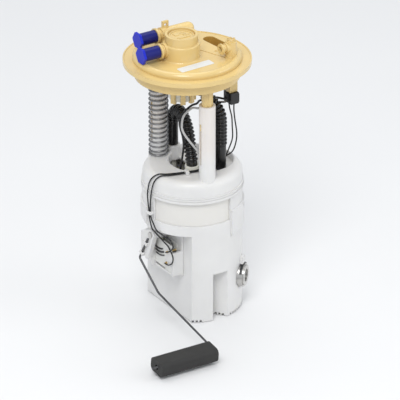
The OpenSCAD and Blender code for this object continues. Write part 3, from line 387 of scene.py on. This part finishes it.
greyPower = [
    (0.0314, -0.0124, 0.2176), (0.027, -0.0026, 0.214), (0.018, -0.0006, 0.213),
    (0.009, -0.0026, 0.214), (0.002, -0.008, 0.216), (-0.007, -0.01, 0.219), (-0.015, -0.008, 0.212),
    (-0.018, -0.009, 0.203), (-0.018, -0.011, 0.197), (-0.016, -0.015, 0.191), (-0.012, -0.019, 0.184),
    (-0.006, -0.021, 0.175), (0.001, -0.019, 0.164), (0.002, -0.014, 0.152), (0.002, -0.005, 0.142),
    (-0.005, 0, 0.134), (-0.013, 0, 0.124), (-0.0145, 0.0001, 0.1115),
]
upperA = [
    (0.037, -0.009, 0.2154), (0.037, -0.011, 0.208), (0.038, -0.013, 0.2), (0.038, -0.014, 0.19),
    (0.037, -0.016, 0.178), (0.034, -0.014, 0.166), (0.033, -0.009, 0.156), (0.029, -0.005, 0.1496),
    (0.022, -0.004, 0.1478), (0.014, -0.012, 0.1478), (0.006, -0.02, 0.151), (-0.002, -0.024, 0.1554),
    (-0.01, -0.023, 0.1556), (-0.017, -0.021, 0.1554),
]
upperB = [
    (0.0395, -0.015, 0.2154), (0.0396, -0.0144, 0.208), (0.04, -0.0156, 0.198), (0.041, -0.0176, 0.184),
    (0.04, -0.018, 0.174), (0.038, -0.015, 0.163), (0.0354, -0.007, 0.155), (0.029, -0.0024, 0.1496),
    (0.021, -0.0016, 0.1478), (0.011, -0.0096, 0.1486), (0.003, -0.017, 0.152),
    (-0.003, -0.0214, 0.1554), (-0.01, -0.0206, 0.1556), (-0.017, -0.0186, 0.1554),
]
lowerA = [
    (-0.021, -0.02, 0.1554), (-0.03, -0.0176, 0.1552), (-0.038, -0.0152, 0.1552),
    (-0.0436, -0.0122, 0.1549), (-0.0484, -0.0102, 0.1522), (-0.0511, -0.0088, 0.147),
    (-0.0523, -0.0076, 0.14), (-0.0528, -0.0068, 0.134), (-0.0528, -0.0058, 0.126),
    (-0.0527, -0.005, 0.117), (-0.0525, -0.0056, 0.11), (-0.0518, -0.0092, 0.1035),
    (-0.0505, -0.0136, 0.0972), (-0.0463, -0.0188, 0.0926), (-0.0438, -0.024, 0.0908),
    (-0.0432, -0.0286, 0.0896), (-0.0429, -0.0318, 0.0864), (-0.0429, -0.0314, 0.0824),
    (-0.0431, -0.0284, 0.0786), (-0.0432, -0.025, 0.076), (-0.0429, -0.021, 0.0737),
    (-0.0425, -0.0177, 0.072),
]
lowerB = [
    (-0.021, -0.0178, 0.1554), (-0.03, -0.0146, 0.1552), (-0.038, -0.0116, 0.1552),
    (-0.044, -0.0074, 0.1549), (-0.049, -0.005, 0.1522), (-0.0519, -0.003, 0.147),
    (-0.053, -0.002, 0.14), (-0.0536, -0.0016, 0.134), (-0.0534, -0.0018, 0.126),
    (-0.0528, -0.0026, 0.117), (-0.0527, -0.0031, 0.11), (-0.0524, -0.0048, 0.103),
    (-0.0516, -0.007, 0.0965), (-0.0482, -0.0084, 0.0912), (-0.045, -0.01, 0.0868),
    (-0.0425, -0.0136, 0.0826), (-0.0412, -0.0196, 0.0796), (-0.0412, -0.025, 0.076),
    (-0.0414, -0.0288, 0.0726), (-0.0416, -0.0302, 0.069), (-0.0418, -0.0284, 0.064),
    (-0.0422, -0.0231, 0.0602), (-0.0425, -0.019, 0.0594), (-0.0425, -0.0158, 0.0594),
]

makeHose("pumpHose", pumpHoseRoute, {"node": "pump_hose", "first": 0.013, "second": 0.026})
makeHose("feedHose", feedHoseRoute, {"node": "feed_hose", "first": 0.026, "second": 0.014},
         {"joint": "flange_slide", "axis": (0, 0, 1), "anchor": (0.025, -0.013, 0.146), "keep": 0.78})


# Wires; those that end on the flange get a mesh of their own
def makeWire(name, route, ownLook, *covered):
    look = {**wireLook, **ownLook}
    path, length = evenPath(smoothPath(route, look["curveSteps"]), look["spacing"])
    rings = [(c, d, look["radius"]) for c, d in zip(path, directions(path))]
    wire = sweep(name, rings, look["sides"])
    dress(wire, "reservoir", "wire_cover", materials[look["material"]], *covered)
    if "keep" in look:
        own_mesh(wire)


wireLook = {"radius": 0.0007, "material": "wire_cover", "curveSteps": 8, "spacing": 0.0016, "sides": 14}
powerLook = {"radius": 0.0011, "anchor": 0.1115, "keep": 0.768}
upperLook = {"anchor": 0.155, "keep": 0.586}
materials["grey_wire"] = grainMaterial("grey_wire", (0.46, 0.46, 0.46), {"rough": 0.4, "spread": 0.08})
makeWire("powerWireBlack", blackPower, powerLook, "power_wires")
makeWire("powerWireGrey", greyPower, {**powerLook, "material": "grey_wire"})
makeWire("senderWireUpperA", upperA, upperLook, "sender_wires_upper")
makeWire("senderWireUpperB", upperB, upperLook)
makeWire("senderWireLowerA", lowerA, {}, "sender_wires_lower")
makeWire("senderWireLowerB", lowerB, {})
print("wires made")


# Guide spring with one closed turn at each end
def makeSpring():
    coil = {
        "centre": (-0.018, 0.035), "low": 0.15515, "high": 0.26985, "mean": 0.00935, "wire": 0.0017,
        "turns": 24, "closedPitch": 1.04, "steps": 48, "sides": 14,
    }
    closed = coil["wire"] * coil["closedPitch"]
    height = coil["high"] - coil["low"]
    x, y = coil["centre"]
    path = []
    for i in range(coil["turns"] * coil["steps"] + 1):
        turn = i / coil["steps"]
        if turn < 1:
            rise = turn * closed
        elif turn > coil["turns"] - 1:
            rise = height - (coil["turns"] - turn) * closed
        else:
            rise = closed + (turn - 1) * (height - 2 * closed) / (coil["turns"] - 2)
        a = 2 * math.pi * turn
        spoke = Vector((math.cos(a), math.sin(a), 0)) * coil["mean"]
        path.append(Vector((x, y, coil["low"] + rise)) + spoke)
    rings = [(c, d, coil["wire"] / 2) for c, d in zip(path, directions(path))]
    spring = sweep("guideSpring", rings, coil["sides"])
    dress(spring, "reservoir", "dark_steel", materials["spring_wire"], "guide_spring")
    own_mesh(spring)


# Float arm wire: straight runs with a rounded bend at each corner
def makeArm():
    arm = {
        "x": -0.0506, "radius": 0.0011, "bend": 0.0028, "bendSteps": 10, "sides": 20,
        "corners": ((0.003264, 0.080441), (0.0192, 0.0533), (-0.0168, 0.0286), (-0.1228, 0.0104)),
        "end": (-0.123, -0.1228, 0.0104),
    }
    corners = [Vector((arm["x"], y, z)) for y, z in arm["corners"]] + [Vector(arm["end"])]
    path = [corners[0]]
    for a, b, c in zip(corners, corners[1:], corners[2:]):
        start = b + (a - b).normalized() * arm["bend"]
        end = b + (c - b).normalized() * arm["bend"]
        for k in range(arm["bendSteps"] + 1):
            t = k / arm["bendSteps"]
            path.append(start.lerp(b, t).lerp(b.lerp(end, t), t))
    path.append(corners[-1])
    rings = [(c, d, arm["radius"]) for c, d in zip(path, directions(path))]
    wire = sweep("floatArmWire", rings, arm["sides"])
    dress(wire, "float_arm", "dark_steel", materials["dark_steel"], "float_arm_wire")


# Bare label on the flange, a thin plate with rounded corners
def makeLabel():
    label = {
        "centre": (-0.0143, -0.029, 0.27405), "size": (0.0385, 0.0102), "thick": 0.00018,
        "corner": 0.0012, "cornerSteps": 6, "turn": 2.5,
    }
    corner, steps = label["corner"], label["cornerSteps"]
    half = [s / 2 - corner for s in label["size"]]
    outline = []
    for sx, sy, start in ((1, 1, 0), (-1, 1, 90), (-1, -1, 180), (1, -1, 270)):
        for k in range(steps + 1):
            a = math.radians(start + 90 * k / steps)
            outline.append((sx * half[0] + corner * math.cos(a), sy * half[1] + corner * math.sin(a)))
    turn = Matrix.Rotation(math.radians(label["turn"]), 3, "Z")
    centre = Vector(label["centre"])
    points = [turn @ Vector((x, y, z)) + centre for z in (0, label["thick"]) for x, y in outline]
    count = len(outline)
    faces = [tuple(range(count - 1, -1, -1)), tuple(range(count, 2 * count))]
    faces += [(k, (k + 1) % count, count + (k + 1) % count, count + k) for k in range(count)]
    plate = newMesh("bareLabel", points, faces, smooth=False)
    paper = grainMaterial("label", (0.7, 0.71, 0.7), {"rough": 0.55, "spread": 0.02, "fine": 3000})
    dress(plate, "flange", "white_plastic", paper)


# Track card: the sender's glossy face in three panels, with its curved contact tracks
def makeTrackCard():
    card = {
        "x": (-0.04, -0.0392), "pivot": (0.0, 0.086),
        "panels": [  # each from one Y to another, then from one Z to another
            (-0.0126, 0.0058, 0.0525, 0.081),
            (-0.0248, -0.0126, 0.0738, 0.081),
            (-0.0248, -0.0126, 0.0502, 0.0578),
        ],
        "tracks": ((0.0165, 0.0018), (0.0198, 0.0022), (0.0232, 0.0016)),  # bend radius, thickness
        "start": -122, "step": 3.2, "points": 17, "margin": 0.001, "proud": 0.0001, "sides": 8,
    }
    # The six faces of a box whose corners count up in Z, then Y, then X
    box = [(0, 1, 3, 2), (4, 6, 7, 5), (0, 4, 5, 1), (2, 3, 7, 6), (0, 2, 6, 4), (1, 5, 7, 3)]
    corners, faces = [], []
    for low, high, bottom, top in card["panels"]:
        n = len(corners)
        corners += [(x, y, z) for x in card["x"] for y in (low, high) for z in (bottom, top)]
        faces += [tuple(n + k for k in side) for side in box]
    plate = newMesh("trackCard", corners, faces, smooth=False)
    glaze = {"rough": 0.12, "spread": 0.03, "relief": 0.02}
    gloss = grainMaterial("card glaze", (0.72, 0.72, 0.69), glaze)
    dress(plate, "reservoir", "ivory_plastic", gloss)
    nodes["resistor_card"].data.materials[0] = gloss
    pivotY, pivotZ = card["pivot"]
    low, high = card["panels"][0][:2]
    front = card["x"][0] - card["proud"]
    for bend, thickness in card["tracks"]:
        path = []
        for k in range(card["points"]):
            a = math.radians(card["start"] + card["step"] * k)
            y = pivotY + bend * math.cos(a)
            if low + card["margin"] < y < high - card["margin"]:
                path.append(Vector((front, y, pivotZ + bend * math.sin(a))))
        rings = [(c, d, thickness / 2) for c, d in zip(path, directions(path))]
        track = sweep("track", rings, card["sides"])
        dress(track, "reservoir", "dark_steel", materials["dark_steel"])


# Brass finger between the lever and the card
def makeFinger():
    finger = {
        "root": (-0.0447, 0.004, 0.0722), "tip": (-0.0441, 0.0008, 0.0695), "radius": 0.0006,
        "spacing": 0.001, "sides": 10,
    }
    path = evenPath([Vector(finger["root"]), Vector(finger["tip"])], finger["spacing"])[0]
    rings = [(c, d, finger["radius"]) for c, d in zip(path, directions(path))]
    dress(sweep("wiperFinger", rings, finger["sides"]), "float_arm", "brass", materials["brass"])


makeSpring()
makeArm()
makeLabel()
makeTrackCard()
makeFinger()
print("arm, spring, label and card made")


# Floor and light
def makeStage():
    studio = {
        "reach": 30, "height": -0.0006, "sky": (0.93, 0.96, 1, 1), "skyStrength": 0.66,
        "aim": (0, 0, 0.13), "lamps": {
            "key": {"place": (-0.9, -1.0, 1.7), "size": 1.0, "power": 21},
            "fill": {"place": (1.5, -1.2, 0.9), "size": 1.4, "power": 7},
            "top": {"place": (0.2, 0.5, 1.8), "size": 1.3, "power": 8},
        },
    }
    r, z = studio["reach"], studio["height"]
    floor = newMesh("floor", [(-r, -r, z), (r, -r, z), (r, r, z), (-r, r, z)], [(0, 1, 2, 3)])
    paint = {"rough": 0.7, "spread": 0.006, "cloud": 4, "relief": 0.0}
    floor.data.materials.append(grainMaterial("floor", (0.8, 0.8, 0.8), paint))
    world = bpy.data.worlds.new("studio")
    world.use_nodes = True
    backdrop = world.node_tree.nodes["Background"]
    backdrop.inputs["Color"].default_value = studio["sky"]
    backdrop.inputs["Strength"].default_value = studio["skyStrength"]
    scene.world = world
    for name, look in studio["lamps"].items():
        data = bpy.data.lights.new(name, "AREA")
        data.shape = "DISK"
        data.size = look["size"]
        data.energy = look["power"]
        lamp = bpy.data.objects.new(name, data)
        scene.collection.objects.link(lamp)
        lamp.location = look["place"]
        lamp.rotation_mode = "QUATERNION"
        lamp.rotation_quaternion = (Vector(look["place"]) - Vector(studio["aim"])).to_track_quat("Z", "Y")
    scene.view_settings.view_transform = "Standard"


makeStage()
print("floor and light set")
